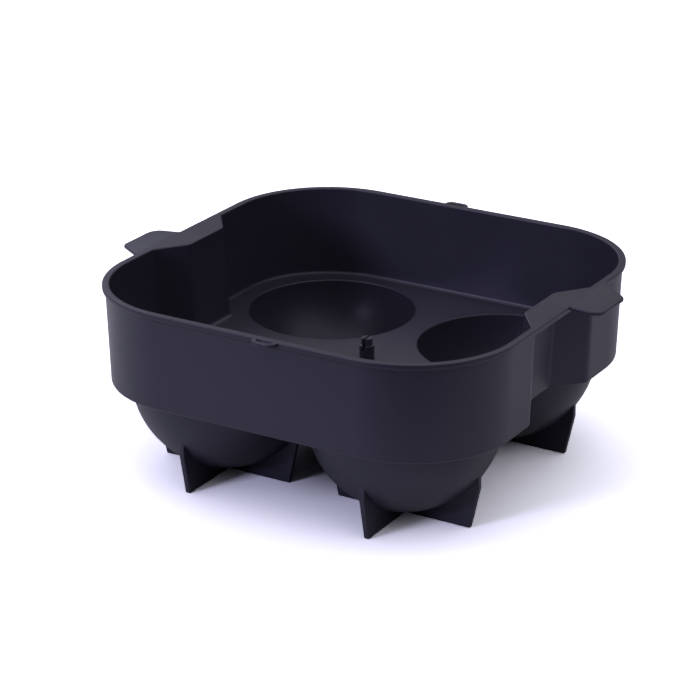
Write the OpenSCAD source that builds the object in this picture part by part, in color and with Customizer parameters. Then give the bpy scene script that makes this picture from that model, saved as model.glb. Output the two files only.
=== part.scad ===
// Lower half of a round mould: a deep square tray whose deck carries hemispherical
// cups on crossed fins, with a rim, finger recesses, handles and loops.
// Millimetres, +Z up, origin on the table under the middle of the tray.
// +X runs from handle to handle, and -Y is the front.

/* [Cups] */
// Inside diameter of a cup
cup_d = 45; // [35:0.5:60]
// Thickness of a cup's wall
cup_wall = 2; // [1:0.1:3]
// Gap between neighbouring cups, outside to outside
cup_gap = 3.2; // [2:0.1:12]
// Height of the lowest point of a cup above the table
cup_clear = 2.2; // [1:0.1:8]

/* [Feet] */
// Thickness of a foot's fins
fin_t = 1.4; // [0.8:0.1:3]
// How far a fin's outer edge stays inside the cup's outside
fin_inset = 3.3; // [2:0.1:6]
// How much a fin's tip on the table is drawn in from its outer edge
fin_flare = 2.4; // [0:0.1:5]
// Height over which the fin widens from its tip
fin_flare_h = 11; // [4:0.5:11]

/* [Tray] */
// Thickness of the deck between the cups
deck_t = 1.2; // [0.8:0.1:3]
// Thickness of the side wall
wall_t = 1.2; // [0.8:0.1:2.5]
// Height of the side wall above the deck
wall_h = 24.7; // [15:0.1:45]
// Draft of the side wall in degrees
wall_draft = 1.9; // [0:0.1:4]
// Gap between the cups and the left and right walls at the bottom
side_margin = 3.4; // [2:0.1:15]
// Gap between the cups and the front and back walls at the bottom
end_margin = 2.3; // [2:0.1:15]
// Outside radius of the tray's corners at the bottom
corner_r = 27; // [20:0.5:32]

/* [Rim] */
// How far the rim bead stands proud of the wall
bead_out = 0.75; // [0.3:0.05:2]
// Height of the rim bead
bead_h = 1.3; // [0.6:0.1:3]

/* [Finger recesses] */
// Width of a recess's flat panel
recess_w = 15.2; // [8:0.2:20]
// Width of a recess where it opens in the wall at the bottom
recess_mouth = 32; // [22:0.5:36]
// Depth of a recess behind the wall at the bottom
recess_depth = 7; // [3:0.1:10]
// Lean of a recess's panel in degrees
recess_lean = 4; // [0:0.5:7]
// Radius of a recess's corners
recess_r = 2; // [0.5:0.1:4]

/* [Handles] */
// Thickness of the ledge over a recess
ledge_t = 1.9; // [1.4:0.1:4]
// Thickness of a handle's tab
tab_t = 1; // [0.6:0.1:1.3]
// How far a tab reaches out from the rim bead
tab_reach = 8.1; // [5:0.1:14]
// How far a tab falls towards its tip, in degrees
tab_droop = 4.5; // [0:0.5:8]
// Start of a tab, measured along the wall from its middle
tab_start = 1.1; // [0:0.1:5]
// Length of a tab along the rim bead
tab_w = 20.2; // [17:0.1:26]
// Slant of a tab's near end in degrees
tab_lean = 3; // [0:1:20]
// Slant of a tab's far end in degrees
tab_slant = 54; // [40:1:70]
// Radius of a tab's near corner
tab_near_r = 3.2; // [1:0.1:4]
// Radius of a tab's far corner
tab_far_r = 2.4; // [1:0.1:4]

/* [Loops] */
// Outside width of a loop
loop_w = 6.8; // [5:0.1:12]
// How far a loop reaches out from the rim bead
loop_reach = 2.3; // [1.8:0.1:5]
// Width of a loop's band
loop_band = 1.2; // [0.8:0.1:1.5]
// Radius of a loop's corners, where it has room
loop_r = 2; // [0.5:0.1:4]
// Thickness of a loop
loop_t = 1.1; // [0.6:0.1:2]
// Distance of a loop from the middle of its wall
loop_offset = 4.6; // [0:0.1:15]

/* [Post] */
// Diameter of the post's base
post_d = 3.9; // [3:0.1:8]
// Height of the post's base above the deck
post_h = 3.7; // [2:0.1:8]
// Diameter of the post's neck
neck_d = 2.9; // [2:0.1:3.5]
// Height of the post's neck above its base
neck_h = 1.9; // [1:0.1:5]
// Width of the slit that parts the neck into two prongs
slit_w = 0.7; // [0.3:0.1:1.2]
// How far the slit runs down into the base
slit_into = 1.4; // [0.5:0.1:1.8]

/* [Hidden] */
$fn = 96;

wall_shade = [0.21, 0.20, 0.25];
cup_shade = [0.17, 0.16, 0.20];
fin_shade = [0.14, 0.13, 0.17];
rim_shade = [0.28, 0.27, 0.33];

// Heights
cup_in = cup_d / 2;
cup_out = cup_in + cup_wall;
cup_z = cup_clear + cup_out;
deck_z = cup_z - deck_t;
rim_z = cup_z + wall_h;
wall_rise = rim_z - deck_z;

// Plan sizes: the wall's outside at the bottom, and the lines its corners turn about
cup_at = cup_out + cup_gap / 2;
half_x = cup_at + cup_out + side_margin + wall_t;
half_y = cup_at + cup_out + end_margin + wall_t;
turn_x = half_x - corner_r;
turn_y = half_y - corner_r;
spread = wall_rise * tan(wall_draft);
bead_x = half_x + spread + bead_out;
bead_y = half_y + spread + bead_out;

// Feet
fin_r = cup_out - fin_inset;
fin_tip_r = fin_r - fin_flare;

// Overlap that lets one solid cut another cleanly
past = 5;

// Degrees in half a turn
half_turn = 180;

// Most of the room at a loop's corner that its radius may take
round_most = 0.95;

function unit(v) = v / norm(v);

// Points of the arc that rounds the corner b between a and c
function corner_arc(a, b, c, r, n) =
    let (u = unit(a - b), v = unit(c - b), half = acos(u * v) / 2, o = b + unit(u + v) * r / sin(half))
    let (p = b + u * r / tan(half) - o, q = b + v * r / tan(half) - o)
    let (from = atan2(p.y, p.x),
         turn = (atan2(q.y, q.x) - from + 3 * half_turn) % (2 * half_turn) - half_turn)
    [for (i = [0:n]) o + r * [cos(from + turn * i / n), sin(from + turn * i / n)]];

// An outline with each corner rounded to its own radius, where 0 stays sharp
function rounded(pts, radii, n = 6) =
    let (k = len(pts))
    [for (i = [0:k - 1])
        each radii[i] > 0
            ? corner_arc(pts[(i + k - 1) % k], pts[i], pts[(i + 1) % k], radii[i], n)
            : [pts[i]]];

// Upright section of the side wall, measured outward from the line its corners turn about
module wall_section() {
    polygon([[corner_r - wall_t, deck_z], [corner_r, deck_z],
             [corner_r + spread, rim_z], [corner_r + spread - wall_t, rim_z]]);
}

// Upright section of the bead that runs round the top of the wall
module bead_section() {
    low = corner_r + spread * (1 - bead_h / wall_rise);
    polygon([[low, rim_z - bead_h], [corner_r + spread + bead_out, rim_z - bead_h],
             [corner_r + spread + bead_out, rim_z], [corner_r + spread, rim_z]]);
}

// A straight run of a section along the front wall
module front_run() {
    translate([-turn_x, -turn_y, 0])
        rotate([90, 0, 90])
            mirror([1, 0, 0]) linear_extrude(2 * turn_x) children();
}

// A straight run of a section along the right wall
module right_run() {
    translate([turn_x, turn_y, 0])
        rotate([90, 0, 0])
            linear_extrude(2 * turn_y) children();
}

// A quarter turn of a section round the back right corner
module corner_turn() {
    translate([turn_x, turn_y, 0]) rotate_extrude(angle = 90) children();
}

// A section all the way round the tray
module whole_turn() {
    for (turn = [0, half_turn]) rotate([0, 0, turn]) {
        front_run() children();
        right_run() children();
        corner_turn() children();
        mirror([0, 1, 0]) corner_turn() children();
    }
}

// Space of the right finger recess, grown by a margin on its inner sides
module recess_space(grow) {
    far = recess_depth + past;
    slope = (recess_mouth - recess_w) / 2 / recess_depth;
    inner = recess_w / 2 + grow * (sqrt(1 + slope * slope) - slope);
    outer = inner + slope * (far + grow);
    outline = rounded([[-grow, -inner], [far, -outer], [far, outer], [-grow, inner]],
                      [recess_r + grow, 0, 0, recess_r + grow]);
    translate([half_x - recess_depth, 0, deck_z])
        rotate([0, recess_lean, 0])
            translate([0, 0, -past])
                linear_extrude(wall_rise + 2 * past) polygon(outline);
}

// Everything on the tray's side of the right wall's outer face, or of a face set back from it
module behind_face(setback) {
    lift = past / wall_rise * spread;
    translate([turn_x, turn_y + past, 0])
        rotate([90, 0, 0])
            linear_extrude(2 * turn_y + 2 * past)
                polygon([[-past - setback, deck_z - past],
                         [corner_r - setback - lift, deck_z - past],
                         [corner_r - setback + spread + lift, rim_z + past],
                         [-past - setback, rim_z + past]]);
}

// The right wall between its corners, stepped in round the finger recess
module recessed_wall() {
    intersection() {
        translate([turn_x - 2 * past, -turn_y, deck_z])
            cube([corner_r + spread + 3 * past, 2 * turn_y, wall_rise]);
        difference() {
            behind_face(0);
            recess_space(0);
            difference() {
                behind_face(wall_t);
                recess_space(wall_t);
            }
        }
    }
}

// Plan of the right tab, from its root in the bead to its outer edge
module tab_plan(root) {
    tip = bead_x + tab_reach;
    back = bead_x - root;
    end = tab_start + tab_w;
    near_slope = tan(tab_lean);
    far_slope = tan(90 - tab_slant);
    polygon(rounded([[root, tab_start - back * near_slope], [tip, tab_start + tab_reach * near_slope],
                     [tip, end - tab_reach * far_slope], [root, end + back * far_slope]],
                    [0, tab_near_r, tab_far_r, 0]));
}

// The right tab, level over its root and falling from there, with a rise above it for cutting
module tab(rise) {
    root = bead_x - bead_out / 2;
    reach = tab_reach + past;
    fall = reach * tan(tab_droop);
    side = [[root, rim_z - tab_t], [bead_x, rim_z - tab_t], [bead_x + reach, rim_z - tab_t - fall],
            [bead_x + reach, rim_z - fall + rise], [bead_x, rim_z + rise], [root, rim_z + rise]];
    intersection() {
        translate([0, 0, rim_z - tab_t - fall - past])
            linear_extrude(tab_t + fall + rise + 2 * past) tab_plan(root);
        translate([0, turn_y + past, 0])
            rotate([90, 0, 0])
                linear_extrude(2 * turn_y + 2 * past) polygon(side);
    }
}

// The right handle: a ledge over the recess and a tab, with a rise above them for cutting
module handle_shape(rise) {
    inner_x = half_x - recess_depth - past;
    intersection() {
        recess_space(0);
        translate([inner_x, -recess_mouth, rim_z - ledge_t])
            cube([bead_x + rise - inner_x, 2 * recess_mouth, ledge_t + rise]);
    }
    tab(rise);
}

// Plan of the front loop, from the bead outward
module loop_plan() {
    half_w = loop_w / 2;
    hole_w = half_w - loop_band;
    hole = loop_reach - loop_band;
    out_r = min(loop_r, round_most * min(loop_reach, half_w));
    hole_r = min(loop_r, round_most * min(hole, hole_w));
    difference() {
        polygon(rounded([[-half_w, 0], [-half_w, -loop_reach], [half_w, -loop_reach], [half_w, 0]],
                        [0, out_r, out_r, 0]));
        polygon(rounded([[-hole_w, past], [-hole_w, -hole], [hole_w, -hole], [hole_w, past]],
                        [0, hole_r, hole_r, 0]));
    }
}

module front_wall() {
    color(wall_shade) front_run() wall_section();
}

module back_wall() {
    color(wall_shade) rotate([0, 0, half_turn]) front_run() wall_section();
}

module right_wall() {
    color(wall_shade) recessed_wall();
}

module left_wall() {
    color(wall_shade) rotate([0, 0, half_turn]) recessed_wall();
}

// A corner of the side wall, where sx and sy pick its side
module wall_corner(sx, sy) {
    color(wall_shade)
        mirror([sx < 0 ? 1 : 0, 0, 0])
            mirror([0, sy < 0 ? 1 : 0, 0])
                corner_turn() wall_section();
}

// The front run of the bead round the rim, from one handle to the other
module rim_bead_front() {
    color(rim_shade) difference() {
        whole_turn() bead_section();
        for (turn = [0, half_turn]) rotate([0, 0, turn]) handle_shape(past);
        translate([-2 * bead_x, 0, 0]) cube([4 * bead_x, 2 * bead_y, rim_z + past]);
    }
}

module rim_bead_back() {
    rotate([0, 0, half_turn]) rim_bead_front();
}

// The plate between the cups, fitted to the inside of the wall
module deck() {
    lift = deck_t / wall_rise * spread;
    inside = corner_r - wall_t;
    section = [[0, deck_z], [inside, deck_z], [inside + lift, cup_z], [0, cup_z]];
    color(cup_shade) difference() {
        union() {
            translate([-turn_x, -turn_y, deck_z]) cube([2 * turn_x, 2 * turn_y, deck_t]);
            whole_turn() polygon(section);
        }
        for (turn = [0, half_turn]) rotate([0, 0, turn]) recess_space(wall_t);
        for (sx = [-1, 1], sy = [-1, 1]) translate([sx * cup_at, sy * cup_at, cup_z]) sphere(cup_out);
    }
}

// A hemispherical cup, where sx and sy pick its corner of the tray
module cup(sx, sy) {
    color(cup_shade) translate([sx * cup_at, sy * cup_at, cup_z]) difference() {
        sphere(cup_out);
        sphere(cup_in);
        translate([-2 * cup_out, -2 * cup_out, 0]) cube(4 * cup_out);
    }
}

// Crossed fins under a cup, where sx and sy pick its corner of the tray
module foot(sx, sy) {
    profile = [[-fin_tip_r, 0], [fin_tip_r, 0], [fin_r, fin_flare_h], [fin_r, cup_z],
               [-fin_r, cup_z], [-fin_r, fin_flare_h]];
    color(fin_shade) translate([sx * cup_at, sy * cup_at, 0]) difference() {
        for (turn = [0, 90])
            rotate([90, 0, turn])
                translate([0, 0, -fin_t / 2]) linear_extrude(fin_t) polygon(profile);
        translate([0, 0, cup_z]) sphere(cup_out);
    }
}

module handle_right() {
    color(rim_shade) union() handle_shape(0);
}

module handle_left() {
    rotate([0, 0, half_turn]) handle_right();
}

module loop_front() {
    color(rim_shade) translate([loop_offset, -bead_y, rim_z - loop_t]) linear_extrude(loop_t) loop_plan();
}

module loop_back() {
    rotate([0, 0, half_turn]) loop_front();
}

// A stepped post in the middle of the deck, slit into two prongs
module centre_post() {
    color(cup_shade) translate([0, 0, cup_z]) difference() {
        union() {
            cylinder(h = post_h, d = post_d);
            cylinder(h = post_h + neck_h, d = neck_d);
        }
        translate([-slit_w / 2, -post_d, post_h - slit_into])
            cube([slit_w, 2 * post_d, slit_into + neck_h + past]);
    }
}

front_wall();
back_wall();
left_wall();
right_wall();
wall_corner(-1, -1);  // corner_front_left
wall_corner(1, -1);  // corner_front_right
wall_corner(-1, 1);  // corner_back_left
wall_corner(1, 1);  // corner_back_right
rim_bead_front();
rim_bead_back();
deck();
cup(-1, -1);  // cup_front_left
cup(1, -1);  // cup_front_right
cup(-1, 1);  // cup_back_left
cup(1, 1);  // cup_back_right
foot(-1, -1);  // foot_front_left
foot(1, -1);  // foot_front_right
foot(-1, 1);  // foot_back_left
foot(1, 1);  // foot_back_right
handle_left();
handle_right();
loop_front();
loop_back();
centre_post();
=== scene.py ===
from math import acos, atan2, cos, pi, radians, sin, sqrt, tan

import bmesh
import bpy
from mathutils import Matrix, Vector


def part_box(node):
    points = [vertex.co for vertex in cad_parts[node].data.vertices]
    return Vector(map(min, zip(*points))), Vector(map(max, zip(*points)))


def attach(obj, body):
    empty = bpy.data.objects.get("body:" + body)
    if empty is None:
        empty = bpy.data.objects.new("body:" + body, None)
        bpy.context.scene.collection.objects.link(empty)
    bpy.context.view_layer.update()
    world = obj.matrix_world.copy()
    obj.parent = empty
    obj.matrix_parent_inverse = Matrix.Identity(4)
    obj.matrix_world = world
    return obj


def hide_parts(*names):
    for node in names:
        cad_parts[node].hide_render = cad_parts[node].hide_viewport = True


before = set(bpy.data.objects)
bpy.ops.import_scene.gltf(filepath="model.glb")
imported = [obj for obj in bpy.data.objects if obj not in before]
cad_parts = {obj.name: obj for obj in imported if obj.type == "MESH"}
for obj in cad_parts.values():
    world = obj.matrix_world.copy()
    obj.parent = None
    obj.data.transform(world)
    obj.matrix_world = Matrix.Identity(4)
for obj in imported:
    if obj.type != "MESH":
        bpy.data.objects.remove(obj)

mm = 0.001
weldGap = 0.002 * mm                                     # points closer than this become one
sharpAngle, bevelAngle = radians(42), radians(40)        # turns from which edges are sharp, or rounded
edgeSteps = 4                                            # parts of a rounded edge's arc
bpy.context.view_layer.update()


# Nodes: one class for a socket's arithmetic, one for a tree

class Socket:                                            # an output that takes part in arithmetic
    def __init__(self, tree, link):
        self.tree = tree
        self.link = link

    def out(self, name):                                 # another output of the same node
        return Socket(self.tree, self.link.node.outputs[name])

    def maths(self, operation, first, second):
        return self.tree.node("ShaderNodeMath", {"operation": operation}, {0: first, 1: second})

    def __add__(self, other):
        return self.maths("ADD", self, other)

    def __radd__(self, other):
        return self.maths("ADD", other, self)

    def __sub__(self, other):
        return self.maths("SUBTRACT", self, other)

    def __rsub__(self, other):
        return self.maths("SUBTRACT", other, self)

    def __mul__(self, other):
        return self.maths("MULTIPLY", self, other)


class Tree:                                              # adds nodes to a shader or geometry tree
    def __init__(self, nodeTree):
        self.nodeTree = nodeTree

    def node(self, kind, settings=None, sockets=None, output=0):
        made = self.nodeTree.nodes.new(kind)
        for name, value in (settings or {}).items():
            setattr(made, name, value)
        for key, value in (sockets or {}).items():
            if isinstance(value, Socket):
                self.nodeTree.links.new(value.link, made.inputs[key])
            else:
                made.inputs[key].default_value = value
        return Socket(self, made.outputs[output]) if len(made.outputs) else made


def fade(tree, value, start, end, first=0.0, last=1.0):  # eases from one number to another
    return tree.node("ShaderNodeMapRange", {"interpolation_type": "SMOOTHSTEP"},
                     {0: value, 1: start, 2: end, 3: first, 4: last})


def blend(tree, share, first, second):                   # mixes two colours
    return tree.node("ShaderNodeMix", {"data_type": "RGBA", "clamp_factor": True},
                     {0: share, 6: first, 7: second}, output=2)


# Plan and section helpers

def roundCorner(before, corner, after, radius, steps):   # points of the arc that rounds a corner
    before, corner, after = Vector(before), Vector(corner), Vector(after)
    if radius <= 0:
        return [corner]
    u = (before - corner).normalized()
    v = (after - corner).normalized()
    half = acos(u.dot(v)) / 2
    centre = corner + (u + v).normalized() * radius / sin(half)
    first = corner + u * radius / tan(half) - centre
    last = corner + v * radius / tan(half) - centre
    start = atan2(first.y, first.x)
    turn = (atan2(last.y, last.x) - start + 3 * pi) % (2 * pi) - pi
    angles = [start + turn * i / steps for i in range(steps + 1)]
    return [centre + radius * Vector((cos(a), sin(a))) for a in angles]


def roundedPath(corners, radii, steps):                  # an open path, each corner with its own radius
    path = [Vector(corners[0])]
    for i in range(1, len(corners) - 1):
        path += roundCorner(corners[i - 1], corners[i], corners[i + 1], radii[i], steps[i])
    return path + [Vector(corners[-1])]


def quarterArc(steps):                                   # sine and cosine over a quarter turn
    return [(sin(pi / 2 * i / steps), cos(pi / 2 * i / steps)) for i in range(steps + 1)]


def circle(radius, count):                               # points round the middle
    angles = [2 * pi * i / count for i in range(count)]
    return [(radius * cos(a), radius * sin(a)) for a in angles]


def loft(rings, ringClosed, loopClosed):                 # quads between rings of equal length
    count = len(rings[0])
    points = [p for ring in rings for p in ring]
    faces = []
    for r in range(len(rings) if loopClosed else len(rings) - 1):
        a = r * count
        b = (r + 1) % len(rings) * count
        for i in range(count if ringClosed else count - 1):
            j = (i + 1) % count
            faces.append((a + i, a + j, b + j, b + i))
    return points, faces


# Objects

def makeObject(name, points, faces, edges=()):
    mesh = bpy.data.meshes.new(name)
    mesh.from_pydata([Vector(p) for p in points], list(edges), faces)
    made = bpy.data.objects.new(name, mesh)
    bpy.context.scene.collection.objects.link(made)
    return made


def applyModifiers(piece):                               # the evaluated mesh takes the modifiers' place
    bpy.context.view_layer.update()
    evaluated = piece.evaluated_get(bpy.context.evaluated_depsgraph_get())
    mesh = bpy.data.meshes.new_from_object(evaluated)
    mesh.name = piece.name
    piece.modifiers.clear()
    piece.data = mesh


def cleanMesh(piece):                                    # doubles merged, faces outward
    shape = bmesh.new()
    shape.from_mesh(piece.data)
    bmesh.ops.remove_doubles(shape, verts=shape.verts, dist=weldGap)
    bmesh.ops.dissolve_degenerate(shape, edges=shape.edges, dist=weldGap)
    bmesh.ops.recalc_face_normals(shape, faces=shape.faces)
    shape.to_mesh(piece.data)
    shape.free()


def markEdges(mesh):                                     # 1 on rounded outer edges, 0 on broad faces; marks edge wear and a painted edge highlight
    least, full = radians(8), radians(24)
    shape = bmesh.new()
    shape.from_mesh(mesh)
    roundedEdge = [0.0] * len(shape.verts)
    for edge in shape.edges:
        angle = edge.calc_face_angle_signed(0.0)
        for vert in edge.verts:
            roundedEdge[vert.index] = max(roundedEdge[vert.index], min(1, (angle - least) / (full - least)))
    shape.free()
    mesh.attributes.new("edgeWearAndHighlight", "FLOAT", "POINT").data.foreach_set("value", roundedEdge)


def finishPiece(piece, material, *nodes):
    cleanMesh(piece)
    markEdges(piece.data)
    piece.data.materials.clear()
    piece.data.materials.append(material)
    piece.data.polygons.foreach_set("use_smooth", [True] * len(piece.data.polygons))
    piece.data.set_sharp_from_angle(angle=sharpAngle)
    evenNormals = piece.modifiers.new("evenNormals", "WEIGHTED_NORMAL")
    evenNormals.keep_sharp = True
    evenNormals.weight = 100
    applyModifiers(piece)
    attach(piece, "root")
    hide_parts(*nodes)
    print("made", piece.name, len(piece.data.vertices), "points", len(piece.data.polygons), "faces")


def addTree(piece, tree, sizes):                         # runs a geometry tree on a piece
    modifier = piece.modifiers.new(tree.name, "NODES")
    modifier.node_group = tree
    for socket in tree.interface.items_tree:
        if socket.in_out == "INPUT" and socket.name in sizes:
            modifier[socket.identifier] = sizes[socket.name]
    applyModifiers(piece)


def addBevel(piece, look):                               # rounds the edges that turn far enough
    bevel = piece.modifiers.new("bevel", "BEVEL")
    bevel.width = look["rounding"]
    bevel.segments = look["roundingSteps"]
    bevel.angle_limit = bevelAngle
    applyModifiers(piece)


# Materials

plasticLook = {
    "colour": (0.0265, 0.0245, 0.0395, 1),               # charcoal with a violet cast
    # lighter colour of rounded edges: partly wear, partly a painted highlight
    "wornAndHighlitColour": (0.042, 0.039, 0.058, 1),
    "wearAndHighlight": 0.3,                                         # share of the lighter edge colour on rounded edges, partly wear and partly a painted highlight
    "patches": 0.12,                                     # share of it that comes and goes over the faces
    "sheen": (0.87, 0.835, 1.0, 1),                      # tint of its reflections
    "gloss": 0.42,                                       # strength of its reflections
    "roughness": 0.38,
    "roughnessSwing": 0.08,
    "polish": 0.03,                                      # how much smoother rounded edges are
    "grain": 0.35 * mm,                                  # size of the moulded grain
    "grainDepth": 0.012 * mm,
    "grainDetail": 2.0,
    "grainStrength": 0.35,
    "cloud": 14 * mm,                                    # size of the patches in the finish
    "cloudDetail": 3.0,
}


def plasticMaterial(name, look):
    material = bpy.data.materials.new(name)
    material.use_nodes = True
    tree = Tree(material.node_tree)
    shader = material.node_tree.nodes["Principled BSDF"]
    shader.inputs["Specular Tint"].default_value = look["sheen"]
    shader.inputs["Specular IOR Level"].default_value = look["gloss"]
    place = tree.node("ShaderNodeTexCoord").out("Object")
    roundedEdge = tree.node("ShaderNodeAttribute", {"attribute_name": "edgeWearAndHighlight"}).out("Fac")
    noise = "ShaderNodeTexNoise"
    cloud = tree.node(noise, sockets={"Vector": place, "Scale": 1 / look["cloud"],
                                      "Detail": look["cloudDetail"]})
    grain = tree.node(noise, sockets={"Vector": place, "Scale": 1 / look["grain"],
                                      "Detail": look["grainDetail"]})
    patch = (cloud - 0.5) * 2                            # from -1 to 1
    # rounded edges turn lighter, partly wear and partly a painted highlight; patches vary the tone at random
    shift = roundedEdge * look["wearAndHighlight"] + patch * look["patches"]
    colour = blend(tree, shift, look["colour"], look["wornAndHighlitColour"])
    roughness = look["roughness"] + patch * look["roughnessSwing"] - roundedEdge * look["polish"]
    bump = tree.node("ShaderNodeBump", sockets={"Strength": look["grainStrength"],
                                                "Distance": look["grainDepth"], "Height": grain})
    links = material.node_tree.links
    links.new(colour.link, shader.inputs["Base Color"])
    links.new(roughness.link, shader.inputs["Roughness"])
    links.new(bump.link, shader.inputs["Normal"])
    return material


charcoalPlastic = plasticMaterial("charcoalPlastic", plasticLook)
print("materials ready")


# Sizes that the frame gives

deckZ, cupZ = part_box("deck")[0].z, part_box("deck")[1].z
frontLow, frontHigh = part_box("front_wall")
rightLow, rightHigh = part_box("right_wall")
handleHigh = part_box("handle_right")[1]
loopLow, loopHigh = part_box("loop_front")
postLow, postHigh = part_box("centre_post")
beadLow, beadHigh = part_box("rim_bead_front")
rimZ = frontHigh.z

wallLook = {
    "thickness": 1.2 * mm,
    "recessPanel": 15.2 * mm,                            # width of the flat at the back of a recess
    "recessMouth": 31.5 * mm,
    "recessLean": radians(4),
    "recessRadius": 2 * mm,
    "mouthRadius": 3 * mm,
    "leastRadius": 0.2 * mm,                             # of a mouth's corner on the inside
    "lip": 0.35 * mm,                                    # rounding of the inner top edge
    "hem": 0.5 * mm,                                     # rounding of the outer bottom edge
    "toe": 1 * mm,                                       # fillet between wall and deck
}
wallT = wallLook["thickness"]
halfY = wallT - frontHigh.y                              # outside of the wall at the bottom
spread = -frontLow.y - halfY                             # how far the wall leans out over its height
halfX = rightHigh.x - spread
draft = spread / (rimZ - deckZ)
turnX = frontHigh.x                                      # where a straight wall ends and a corner begins
cornerR = halfX - turnX
recessDepth = halfX - rightLow.x - wallT / cos(wallLook["recessLean"])
deckEdge = wallT + wallLook["toe"]
recessSteps, mouthSteps, cornerSteps = 6, 6, 28          # parts of the arcs in a quarter of the plan
mouthEnd = recessSteps + mouthSteps + 2                  # point of a quarter where the mouth's arc ends
toeSteps = 5                                             # parts of the arc between wall and deck


# Wall

def quarterOutline(z, inset):                            # recess, mouth and corner of a quarter of the plan
    lean = wallLook["recessLean"]
    grow = (z - deckZ) * draft - inset
    faceX, faceY = halfX + grow, halfY + grow
    backX = halfX - recessDepth + (z - deckZ) * tan(lean)
    slope = (wallLook["recessMouth"] - wallLook["recessPanel"]) / 2 / (faceX + inset - backX)
    panelX = backX - inset / cos(lean)
    panelY = wallLook["recessPanel"] / 2 + inset * (sqrt(1 + slope * slope) - slope)
    mouthY = panelY + slope * (faceX - panelX)
    mouthR = max(wallLook["mouthRadius"] - inset, wallLook["leastRadius"])
    radii = [0, wallLook["recessRadius"] + inset, mouthR, cornerR + grow, 0]
    corners = [(panelX, 0), (panelX, panelY), (faceX, mouthY), (faceX, faceY), (0, faceY)]
    return roundedPath(corners, radii, [0, recessSteps, mouthSteps, cornerSteps, 0])


def wallOutline(z, inset):                               # the whole plan, four mirrored quarters
    quarter = [tuple(p) for p in quarterOutline(z, inset)]
    back = [(-x, y) for x, y in reversed(quarter)]
    left = [(-x, -y) for x, y in quarter]
    front = [(x, -y) for x, y in reversed(quarter)]
    return quarter[:-1] + back[:-1] + left[:-1] + front[:-1]


def wallSection():                                       # height, inset and the height whose plan is used
    lip, hem, toe = wallLook["lip"], wallLook["hem"], wallLook["toe"]
    section = [(deckZ, deckEdge, cupZ)]
    section += [(deckZ + hem * (1 - c), hem * (1 - s), None) for s, c in quarterArc(edgeSteps)]
    section += [(rimZ, 0, None)]
    section += [(rimZ - lip * (1 - c), wallT - lip * (1 - s), None) for s, c in quarterArc(edgeSteps)]
    section += [(cupZ + toe * (1 - s), wallT + toe * (1 - c), None) for s, c in quarterArc(toeSteps)]
    return section


rings = []
for z, inset, planZ in wallSection():
    rings.append([(x, y, z) for x, y in wallOutline(z if planZ is None else planZ, inset)])
trayWall = makeObject("tray_wall", *loft(rings, True, True))
finishPiece(trayWall, charcoalPlastic, "front_wall", "back_wall", "left_wall", "right_wall",
            "corner_front_left", "corner_front_right", "corner_back_left", "corner_back_right")


# Cups

cupLow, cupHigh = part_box("cup_back_right")
cupAt = (cupLow.x + cupHigh.x) / 2
cupLook = {
    "wall": 2 * mm,
    "lip": 0.4 * mm,                                     # rounding of the mouth
    "shoulder": 0.6 * mm,                                # fillet under the deck
    "segments": 96,
    "rings": 44,                                         # of the outer and of the inner hemisphere
}
cupOut = (cupHigh.x - cupLow.x) / 2
cupIn = cupOut - cupLook["wall"]
deckT = cupZ - deckZ
flangeR = sqrt((cupOut + cupLook["shoulder"]) ** 2 - (deckT + cupLook["shoulder"]) ** 2)


def cupProfile():                                        # radius and depth, from outer pole to inner pole
    lip, shoulder = cupLook["lip"], cupLook["shoulder"]
    lipR = sqrt((cupIn + lip) ** 2 - lip ** 2)
    lowest = atan2(deckT + shoulder, flangeR)            # where the sphere meets the fillet
    highest = atan2(lip, lipR)
    steps = cupLook["rings"]
    profile = []
    for i in range(steps + 1):
        angle = pi / 2 + (lowest - pi / 2) * i / steps
        profile.append((cupOut * cos(angle), cupOut * sin(angle)))
    for i in range(1, edgeSteps + 1):
        angle = (pi / 2 - lowest) * i / edgeSteps + lowest
        profile.append((flangeR - shoulder * cos(angle), deckT + shoulder - shoulder * sin(angle)))
    profile += [(flangeR, 0)]
    for i in range(edgeSteps + 1):
        angle = pi / 2 - (pi / 2 - highest) * i / edgeSteps
        profile.append((lipR - lip * cos(angle), lip - lip * sin(angle)))
    for i in range(steps + 1):
        angle = highest + (pi / 2 - highest) * i / steps
        profile.append((cupIn * cos(angle), cupIn * sin(angle)))
    return profile


def newTree(name, inputs):                               # a geometry tree with named inputs
    nodeTree = bpy.data.node_groups.new(name, "GeometryNodeTree")
    nodeTree.interface.new_socket("Geometry", in_out="INPUT", socket_type="NodeSocketGeometry")
    for label, kind in inputs:
        nodeTree.interface.new_socket(label, in_out="INPUT", socket_type="NodeSocket" + kind)
    nodeTree.interface.new_socket("Geometry", in_out="OUTPUT", socket_type="NodeSocketGeometry")
    tree = Tree(nodeTree)
    return tree, tree.node("NodeGroupInput")


def endTree(tree, shape, given):                         # real, welded and coloured
    material = given.out("Material")
    real = tree.node("GeometryNodeRealizeInstances", sockets={"Geometry": shape})
    welded = tree.node("GeometryNodeMergeByDistance", sockets={"Geometry": real, "Distance": weldGap})
    coloured = tree.node("GeometryNodeSetMaterial", sockets={"Geometry": welded, "Material": material})
    tree.node("NodeGroupOutput", sockets={"Geometry": coloured})
    return tree.nodeTree


def onCorners(tree, shape, given):                       # a copy at each corner of a square
    spacing = given.out("Spacing")
    square = tree.node("GeometryNodeMeshGrid", sockets={"Size X": spacing, "Size Y": spacing,
                                                        "Vertices X": 2, "Vertices Y": 2})
    return tree.node("GeometryNodeInstanceOnPoints", sockets={"Points": square, "Instance": shape})


def turned(tree, shape, count):                          # copies about the upright axis
    points = tree.node("GeometryNodePoints", sockets={"Count": count})
    index = tree.node("GeometryNodeInputIndex")
    turn = tree.node("ShaderNodeCombineXYZ", sockets={"Z": index * (2 * pi / count)})
    return tree.node("GeometryNodeInstanceOnPoints",
                     sockets={"Points": points, "Instance": shape, "Rotation": turn})


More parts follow.
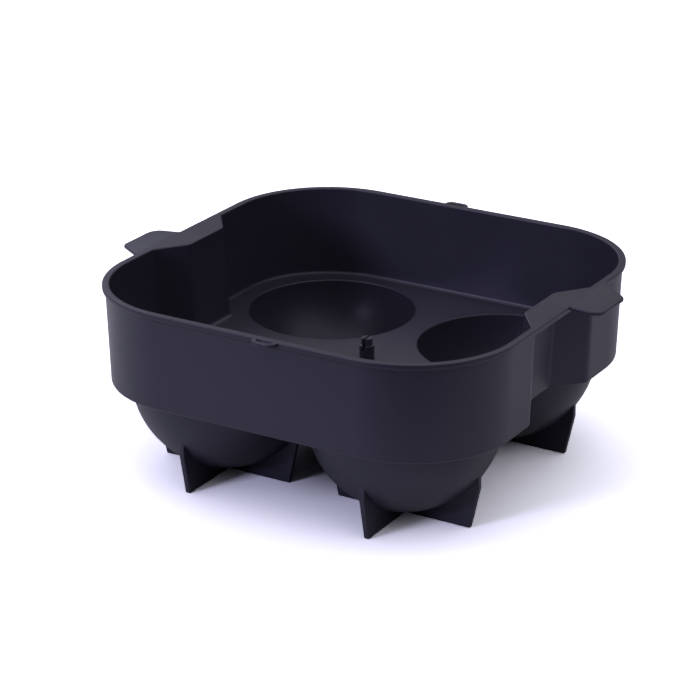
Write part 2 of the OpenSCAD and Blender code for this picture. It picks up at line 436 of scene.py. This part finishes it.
def latheTree():
    tree, given = newTree("cupLathe", [("Radius", "Float"), ("Segments", "Int"), ("Spacing", "Float"),
                                       ("Height", "Float"), ("Material", "Material")])
    profile = tree.node("GeometryNodeMeshToCurve", sockets={"Mesh": given.out("Geometry")})
    hoop = tree.node("GeometryNodeCurvePrimitiveCircle",
                     sockets={"Radius": given.out("Radius"), "Resolution": given.out("Segments")})
    upright = tree.node("GeometryNodeSetCurveNormal", {"mode": "Z_UP"}, {"Curve": hoop})
    cup = tree.node("GeometryNodeCurveToMesh", sockets={"Curve": upright, "Profile Curve": profile})
    lift = tree.node("ShaderNodeCombineXYZ", sockets={"Z": given.out("Height")})
    raised = tree.node("GeometryNodeTransform", sockets={"Geometry": cup, "Translation": lift})
    return endTree(tree, onCorners(tree, raised, given), given)


latheR = 5 * mm                                          # circle that the profile is measured from
profilePoints = [(radius - latheR, depth, 0) for radius, depth in cupProfile()]
profileEdges = [(i, i + 1) for i in range(len(profilePoints) - 1)]
cups = makeObject("cups", profilePoints, [], profileEdges)
addTree(cups, latheTree(), {"Radius": latheR, "Segments": cupLook["segments"], "Spacing": 2 * cupAt,
                            "Height": cupZ, "Material": charcoalPlastic})
finishPiece(cups, charcoalPlastic, "cup_front_left", "cup_front_right", "cup_back_left", "cup_back_right")


# Deck

def deckMesh():                                          # the wall's outline with four round holes
    shape = bmesh.new()
    loops = [wallOutline(cupZ, deckEdge)]
    hole = circle(flangeR, cupLook["segments"])
    for cupX in (-cupAt, cupAt):
        for cupY in (-cupAt, cupAt):
            loops.append([(cupX + x, cupY + y) for x, y in hole])
    edges = []
    for loop in loops:
        verts = [shape.verts.new((x, y, cupZ)) for x, y in loop]
        edges += [shape.edges.new((verts[i - 1], verts[i])) for i in range(len(verts))]
    bmesh.ops.triangle_fill(shape, edges=edges, use_beauty=True)
    made = bmesh.ops.extrude_face_region(shape, geom=shape.faces[:])["geom"]
    for vert in [v for v in made if isinstance(v, bmesh.types.BMVert)]:
        vert.co.z = deckZ
    return shape


deck = makeObject("tray_deck", [], [])
deckShape = deckMesh()
deckShape.to_mesh(deck.data)
deckShape.free()
finishPiece(deck, charcoalPlastic, "deck")


# Feet

footLow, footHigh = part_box("foot_back_right")
finLook = {
    "thickness": 1.4 * mm,
    "draw": 2.4 * mm,                                    # how far the tip on the table is drawn in
    "flare": 11 * mm,                                    # height over which the fin widens
    "sink": 0.6 * mm,                                    # depth of the root in the cup's wall
    "rounding": 0.28 * mm,
    "roundingSteps": 3,
    "rootSteps": 20,                                     # parts of the arc along the cup
}
finR = (footHigh.x - footLow.x) / 2


def finMesh():                                           # one of the four arms, open towards the middle
    half = finLook["thickness"] / 2
    root = cupOut - finLook["sink"]
    steps = finLook["rootSteps"]

    def rootZ(radius):
        return cupZ - sqrt(root * root - radius * radius)

    side = [(half, 0), (finR - finLook["draw"], 0), (finR, finLook["flare"])]
    for i in range(steps + 1):
        radius = finR + (half - finR) * i / steps
        side.append((radius, rootZ(radius)))
    count = len(side)
    points = [(r, -half, z) for r, z in side] + [(r, half, z) for r, z in side]
    points += [(0, 0, 0), (0, 0, rootZ(half))]
    faces = [tuple(range(count)), tuple(range(2 * count - 1, count - 1, -1))]
    faces += [(i, i + 1, count + i + 1, count + i) for i in range(count - 1)]
    faces += [(0, count, 2 * count), (count - 1, 2 * count - 1, 2 * count + 1)]
    return points, faces


def footTree():
    tree, given = newTree("crossedFins", [("Spacing", "Float"), ("Material", "Material")])
    arms = turned(tree, given.out("Geometry"), 4)
    cross = tree.node("GeometryNodeRealizeInstances", sockets={"Geometry": arms})
    return endTree(tree, onCorners(tree, cross, given), given)


feet = makeObject("foot_fins", *finMesh())
addTree(feet, footTree(), {"Spacing": 2 * cupAt, "Material": charcoalPlastic})
cleanMesh(feet)
addBevel(feet, finLook)
finishPiece(feet, charcoalPlastic,
            "foot_front_left", "foot_front_right", "foot_back_left", "foot_back_right")


# Handles: a ledge that fills the recess at the rim, and a thin tab that falls away from it

handleLook = {
    "ledge": 1.6 * mm,
    "tab": 1 * mm,
    "droop": radians(4.5),                               # how steeply the tab falls
    "start": 1.1 * mm,                                   # start of the tab along the wall
    "length": 20.2 * mm,
    "lean": radians(3),                                  # of the tab's near side, off square
    "slant": radians(54),                                # of its far side, off the wall
    "nearRadius": 3.2 * mm,
    "farRadius": 2.4 * mm,
    "rounding": 0.35 * mm,
    "brow": 0.3 * mm,                                    # rounding of the ledge's upper outer edge
}
beadX, beadY = beadHigh.x, -beadLow.y
beadLook = {
    "out": beadX - rightHigh.x,
    "underTab": 1.3 * mm,                                # height of its face beside a tab
    "face": 1.15 * mm,                                   # height of its outer face
    "foot": 1.9 * mm,                                    # depth at which its slope meets the wall
    "edge": 0.3 * mm,                                    # rounding of its upper edge
    "belly": 0.5 * mm,                                   # rounding between face and slope
}
tabEnd = handleLook["start"] + handleLook["length"]
tabSteps = 10                                            # parts of the arcs at a tab's corners


def recessLine(z):                                       # the wall's outside, across a recess
    quarter = [tuple(p) for p in quarterOutline(z, 0)[:mouthEnd + 1]]
    return [(x, -y) for x, y in reversed(quarter)] + quarter[1:]


def ledgeRing(top, low, face, foot, topRound):           # an upright section of the ledge
    arc = quarterArc(edgeSteps)
    over = handleLook["brow"] if topRound else 0
    edge = min(handleLook["rounding"], face - over)
    ring = [(top[0], top[1], rimZ)]
    ring += [(beadX - over * (1 - s), top[1], rimZ - over * (1 - c)) for s, c in arc]
    faceX = beadX - face * draft                         # the face leans with the wall
    ring += [(faceX - edge * (1 - c), top[1], rimZ - face + edge * (1 - s)) for s, c in arc]
    return ring + [(low[0], low[1], rimZ - foot)]


def ledgeMesh():                                         # from bead to ledge over the mouth's arc, and back
    thick = handleLook["ledge"]
    tops = recessLine(rimZ)
    middle, last = len(tops) // 2, len(tops) - 1
    rings = []
    for i, top in enumerate(tops):
        share = min(1, min(i, last - i) / mouthSteps)
        thin = beadLook["face"] if i <= middle else beadLook["underTab"]
        face = thin + (thick - thin) * share
        foot = beadLook["foot"] + (thick - beadLook["foot"]) * share
        low = recessLine(rimZ - foot)[i]
        rings.append(ledgeRing(top, low, face, foot, i <= middle))
        if i == middle:                                  # the tab begins on the recess's flat
            start, startLow = (top[0], handleLook["start"]), (low[0], handleLook["start"])
            rings += [ledgeRing(start, startLow, face, foot, isTop) for isTop in (True, False)]
    rings.append(ledgeRing((top[0], tabEnd), (low[0], tabEnd), face, foot, False))
    points, faces = loft(rings, True, False)
    count = len(rings[0])
    faces += [tuple(range(count)), tuple(range(len(points) - count, len(points)))]
    return points, faces


def tabOutline(inset):                                   # from the root round the tip and back
    nearSlope = tan(handleLook["lean"])
    farSlope = 1 / tan(handleLook["slant"])
    near = handleLook["start"] + inset * sqrt(1 + nearSlope ** 2)
    far = tabEnd - inset * sqrt(1 + farSlope ** 2)
    tip = handleHigh.x - inset
    reach = tip - beadX
    corners = [(beadX, near), (tip, near + reach * nearSlope), (tip, far - reach * farSlope), (beadX, far)]
    radii = [0, handleLook["nearRadius"] - inset, handleLook["farRadius"] - inset, 0]
    return roundedPath(corners, radii, [0, tabSteps, tabSteps, 0])


def tabMesh():
    edge, thick = handleLook["rounding"], handleLook["tab"]
    levels = [(edge * (1 - s), edge * (1 - c)) for s, c in quarterArc(edgeSteps)]
    levels += [(edge * (1 - c), thick - edge * (1 - s)) for s, c in quarterArc(edgeSteps)]
    fall = tan(handleLook["droop"])
    rings = []
    for inset, down in levels:
        rings.append([(x, y, rimZ - down - (x - beadX) * fall) for x, y in tabOutline(inset)])
    points, faces = loft(rings, False, False)
    count = len(rings[0])
    starts = [r * count for r in range(len(rings))]
    ends = [r * count + count - 1 for r in reversed(range(len(rings)))]
    faces += [tuple(range(count)), tuple(range(len(points) - count, len(points))), tuple(starts + ends)]
    return points, faces


def pairTree():                                          # the same piece again, half a turn round the tray
    tree, given = newTree("halfTurnPair", [("Material", "Material")])
    return endTree(tree, turned(tree, given.out("Geometry"), 2), given)


halfTurnPair = pairTree()
ledgePoints, ledgeFaces = ledgeMesh()
tabPoints, tabFaces = tabMesh()
shifted = [tuple(i + len(ledgePoints) for i in face) for face in tabFaces]
handles = makeObject("handles", ledgePoints + tabPoints, ledgeFaces + shifted)
addTree(handles, halfTurnPair, {"Material": charcoalPlastic})
finishPiece(handles, charcoalPlastic, "handle_left", "handle_right")


# Rim bead and loops: a section that follows a path

sweepSteps, loopSteps = 5, 8                             # parts of the section's and of the loops' arcs


def sweepTree():
    sizes = ["Inner", "Outer", "Face", "Depth", "Lean", "Inner Rounding", "Edge", "Belly"]
    tree, given = newTree("rimSweep", [(size, "Float") for size in sizes] + [("Material", "Material")])
    inner, outer, lean = given.out("Inner"), given.out("Outer"), given.out("Lean")
    face, depth = given.out("Face"), given.out("Depth")
    corners = [(inner, 0.0), (outer, 0.0), (outer - face * lean, face), (inner - depth * lean, depth)]
    places = {}
    for number, (x, y) in enumerate(corners):
        places["Point %d" % (number + 1)] = tree.node("ShaderNodeCombineXYZ", sockets={"X": x, "Y": y})
    square = tree.node("GeometryNodeCurvePrimitiveQuadrilateral", {"mode": "POINTS"}, places)
    index = tree.node("GeometryNodeInputIndex")
    radius = given.out("Inner Rounding")
    for number, rounding in ((1, given.out("Edge")), (2, given.out("Belly"))):
        isHere = tree.node("ShaderNodeMath", {"operation": "COMPARE"}, {0: index, 1: float(number), 2: 0.5})
        radius = radius * (1 - isHere) + rounding * isHere
    section = tree.node("GeometryNodeFilletCurve", {"mode": "POLY"},
                        {"Curve": square, "Count": sweepSteps, "Radius": radius})
    path = tree.node("GeometryNodeMeshToCurve", sockets={"Mesh": given.out("Geometry")})
    upright = tree.node("GeometryNodeSetCurveNormal", {"mode": "Z_UP"}, {"Curve": path})
    swept = tree.node("GeometryNodeCurveToMesh",
                      sockets={"Curve": upright, "Profile Curve": section, "Fill Caps": True})
    return endTree(tree, turned(tree, swept, 2), given)


def beadPath():                                          # from a tab's end round the back to the next mouth
    outline = wallOutline(rimZ, 0)
    quarter = len(outline) // 4
    path = [(rightHigh.x, tabEnd)] + outline[mouthEnd + 1:2 * quarter - mouthEnd + 1]
    return [(x, y, rimZ) for x, y in path]


def pathObject(name, points):
    return makeObject(name, points, [], [(i, i + 1) for i in range(len(points) - 1)])


rimSweep = sweepTree()
rimBead = pathObject("rim_bead_run", beadPath())
addTree(rimBead, rimSweep, {"Inner": 0.0, "Outer": beadLook["out"], "Face": beadLook["face"],
                            "Depth": beadLook["foot"], "Lean": draft, "Inner Rounding": 0.0,
                            "Edge": beadLook["edge"], "Belly": beadLook["belly"],
                            "Material": charcoalPlastic})
finishPiece(rimBead, charcoalPlastic, "rim_bead_front", "rim_bead_back")

loopLook = {
    "band": 1.2 * mm,
    "thickness": 1.1 * mm,
    "radius": 2 * mm,                                    # outside radius of its corners
    "rounding": 0.35 * mm,
    "root": 0.35 * mm,                                   # how far its ends run into the bead
    "lower": 0.05 * mm,                                  # step down from the rim
}


def loopPath():                                          # out of the bead, along and back
    half = loopLook["band"] / 2
    left, right = loopLow.x + half, loopHigh.x - half
    outer = loopLow.y + half
    root = -beadY + loopLook["root"]
    radius = loopLook["radius"] - half
    corners = [(left, root), (left, outer), (right, outer), (right, root)]
    path = roundedPath(corners, [0, radius, radius, 0], [0, loopSteps, loopSteps, 0])
    return [(x, y, rimZ - loopLook["lower"]) for x, y in path]


rimLoops = pathObject("rim_loops", loopPath())
loopDepth = loopLook["thickness"] - loopLook["lower"]
addTree(rimLoops, rimSweep, {"Inner": -loopLook["band"] / 2, "Outer": loopLook["band"] / 2,
                             "Face": loopDepth, "Depth": loopDepth, "Lean": 0.0,
                             "Inner Rounding": loopLook["rounding"], "Edge": loopLook["rounding"],
                             "Belly": loopLook["rounding"], "Material": charcoalPlastic})
finishPiece(rimLoops, charcoalPlastic, "loop_front", "loop_back")


# Post

postLook = {
    "base": 3.7 * mm,                                    # height of the base above the deck
    "neck": 2.9 * mm,                                    # diameter of the neck
    "slit": 0.7 * mm,
    "slitInto": 1.4 * mm,
    "sink": 0.3 * mm,
    "rounding": 0.14 * mm,
    "roundingSteps": 2,
    "segments": 48,
}


def postMesh():
    baseR, neckR = (postHigh.x - postLow.x) / 2, postLook["neck"] / 2
    bottom, shoulder = cupZ - postLook["sink"], cupZ + postLook["base"]
    count = postLook["segments"]
    rings = []
    for radius, z in ((baseR, bottom), (baseR, shoulder), (neckR, shoulder), (neckR, postHigh.z)):
        rings.append([(x, y, z) for x, y in circle(radius, count)])
    points, faces = loft(rings, True, False)
    return points, faces + [tuple(range(count)), tuple(range(3 * count, 4 * count))]


def slitBox():
    x, y = postLook["slit"] / 2, postHigh.y * 2
    low, high = cupZ + postLook["base"] - postLook["slitInto"], postHigh.z + postLook["base"]
    rings = [[(-x, -y, z), (x, -y, z), (x, y, z), (-x, y, z)] for z in (low, high)]
    points, faces = loft(rings, True, False)
    return points, faces + [(0, 1, 2, 3), (4, 5, 6, 7)]


post = makeObject("centre_post_pins", *postMesh())
cleanMesh(post)
cutter = makeObject("slit_cutter", *slitBox())
cleanMesh(cutter)
slit = post.modifiers.new("slit", "BOOLEAN")
slit.operation = "DIFFERENCE"
slit.object = cutter
addBevel(post, postLook)
bpy.data.objects.remove(cutter)
finishPiece(post, charcoalPlastic, "centre_post")


# Camera's place: the photograph's viewing angle

cameraLook = {
    "azimuth": radians(30.607),
    "elevation": radians(21.723),
    "distance": 686.83 * mm,
    "target": Vector((-8.66, 6.101, 25)) * mm,
    "lens": 135.0,
    "sensor": 36,
}


# Floor and light

def sideDirection(turn):                                 # a level direction, turned from the camera's side
    return (sin(cameraLook["azimuth"] + turn), -cos(cameraLook["azimuth"] + turn), 0)


def along(tree, place, turn):                            # how far a place lies in such a direction
    return tree.node("ShaderNodeVectorMath", {"operation": "DOT_PRODUCT"},
                     {0: place, 1: sideDirection(turn)}, output="Value")


stageLook = {
    "size": 6000 * mm,
    "seenColour": (2.3, 2.3, 2.48, 1),                   # for the camera: white in light, lavender in shade
    "sentColour": (0.88, 0.88, 0.90, 1),                 # what the floor sends on to the object
    "near": (0.36, 0.36, 0.39, 1),                       # painted shade: what the floor sends on from close to the tray, darker
    "nearFrom": 30 * mm,
    "nearTo": 70 * mm,
    "dim": (0.66, 0.65, 0.75, 1),                        # painted shade: what the floor sends on from the far right, darker
    "dimTurn": radians(82),
    "dimFrom": 30 * mm,
    "dimTo": 160 * mm,
    "frontShade": (0.09, 0.09, 0.105, 1),                    # painted shade: what the floor sends on from in front, darker
    "frontShadeTurn": radians(-7),
    "frontShadeFrom": 90 * mm,
    "frontShadeTo": 157 * mm,
    "under": (0.2, 0.2, 0.22, 1),                        # painted shadow on the floor in the middle, between the feet
    "underFrom": 12 * mm,
    "underTo": 34 * mm,
}


def floorMaterial(look):
    material = bpy.data.materials.new("paleFloor")
    material.use_nodes = True
    nodes = material.node_tree.nodes
    nodes.remove(nodes["Principled BSDF"])
    tree = Tree(material.node_tree)
    seen = tree.node("ShaderNodeLightPath").out("Is Camera Ray")
    place = tree.node("ShaderNodeTexCoord").out("Object")
    away = tree.node("ShaderNodeVectorMath", {"operation": "LENGTH"}, {0: place}, output="Value")
    # painted shade: the floor sends less light on from close to the tray
    far = fade(tree, away, look["nearFrom"], look["nearTo"])
    sent = blend(tree, far, look["near"], look["sentColour"])
    # painted shade: the floor sends darker light on from the far right and from in front
    for zone in ("dim", "frontShade"):
        ahead = along(tree, place, look[zone + "Turn"])
        sent = blend(tree, fade(tree, ahead, look[zone + "From"], look[zone + "To"]), sent, look[zone])
    # painted shadow: the floor, as seen and as it sends light on, turns dark in the middle between the feet
    clear = fade(tree, away, look["underFrom"], look["underTo"])
    colour = blend(tree, clear, look["under"], blend(tree, seen, sent, look["seenColour"]))
    matt = tree.node("ShaderNodeBsdfDiffuse", sockets={"Color": colour})
    material.node_tree.links.new(matt.link, nodes["Material Output"].inputs["Surface"])
    return material


floorHalf = stageLook["size"] / 2
floorCorners = [(x * floorHalf, y * floorHalf, 0) for x, y in ((-1, -1), (1, -1), (1, 1), (-1, 1))]
floor = makeObject("floor", floorCorners, [(0, 1, 2, 3)])
floor.data.materials.append(floorMaterial(stageLook))

lightLook = {
    "seenColour": (1, 1, 1, 1),                          # what the camera sees past the floor
    "colour": (0.99, 0.98, 1.04, 1),
    "level": 0.84,
    "darkTo": 0.12,                                      # sine of the height up to which the sky is dark
    "fullFrom": 0.68,                                    # sine of the height from which it has its full light
    "dim": 0.12,                                         # share of the light on the studio's dark side
    "dimTurn": radians(-14),
    "dimFrom": 0.50,                                     # cosine off that side where the dark starts
    "dimFull": 0.85,                                     # cosine off that side where it is full
}


def worldLight(look):
    world = bpy.data.worlds.new("studio")
    bpy.context.scene.world = world
    world.use_nodes = True
    tree = Tree(world.node_tree)
    background = world.node_tree.nodes["Background"]
    seen = tree.node("ShaderNodeLightPath").out("Is Camera Ray")
    direction = tree.node("ShaderNodeTexCoord").out("Generated")
    facing = along(tree, direction, look["dimTurn"])
    sky = fade(tree, facing, look["dimFrom"], look["dimFull"], 1.0, look["dim"])
    height = tree.node("ShaderNodeSeparateXYZ", sockets={"Vector": direction}).out("Z")
    rise = fade(tree, height, look["darkTo"], look["fullFrom"])
    strength = seen + (1 - seen) * sky * rise * look["level"]
    colour = blend(tree, seen, look["colour"], look["seenColour"])
    world.node_tree.links.new(strength.link, background.inputs["Strength"])
    world.node_tree.links.new(colour.link, background.inputs["Color"])


lampColour = (0.86, 0.86, 1.20)
keyLook = {
    "azimuth": radians(-112),
    "elevation": radians(19),
    "distance": 1300 * mm,
    "size": 300 * mm,
    "power": 5,
}
sideLook = {
    "azimuth": radians(142),
    "elevation": radians(20),
    "distance": 1300 * mm,
    "size": 500 * mm,
    "power": 0.75,
}


def softbox(name, look):
    level = cos(look["elevation"])
    toward = Vector((cos(look["azimuth"]) * level, sin(look["azimuth"]) * level, sin(look["elevation"])))
    lamp = bpy.data.lights.new(name, "AREA")
    lamp.size = look["size"]
    lamp.energy = look["power"]
    lamp.color = lampColour
    made = bpy.data.objects.new(name, lamp)
    made.location = toward * look["distance"]
    made.rotation_euler = toward.to_track_quat("Z", "Y").to_euler()
    bpy.context.scene.collection.objects.link(made)


worldLight(lightLook)
softbox("keyLamp", keyLook)
softbox("sideLamp", sideLook)
print("stage ready")


# Camera

azimuth, elevation = cameraLook["azimuth"], cameraLook["elevation"]
outward = Vector((sin(azimuth) * cos(elevation), -cos(azimuth) * cos(elevation), sin(elevation)))
cameraData = bpy.data.cameras.new("camera")
cameraData.lens = cameraLook["lens"]
cameraData.sensor_width = cameraLook["sensor"]
camera = bpy.data.objects.new("camera", cameraData)
camera.location = cameraLook["target"] + outward * cameraLook["distance"]
camera.rotation_euler = (pi / 2 - elevation, 0, azimuth)
bpy.context.scene.collection.objects.link(camera)
bpy.context.scene.camera = camera
bpy.context.scene.view_settings.view_transform = "Standard"
print("camera ready")
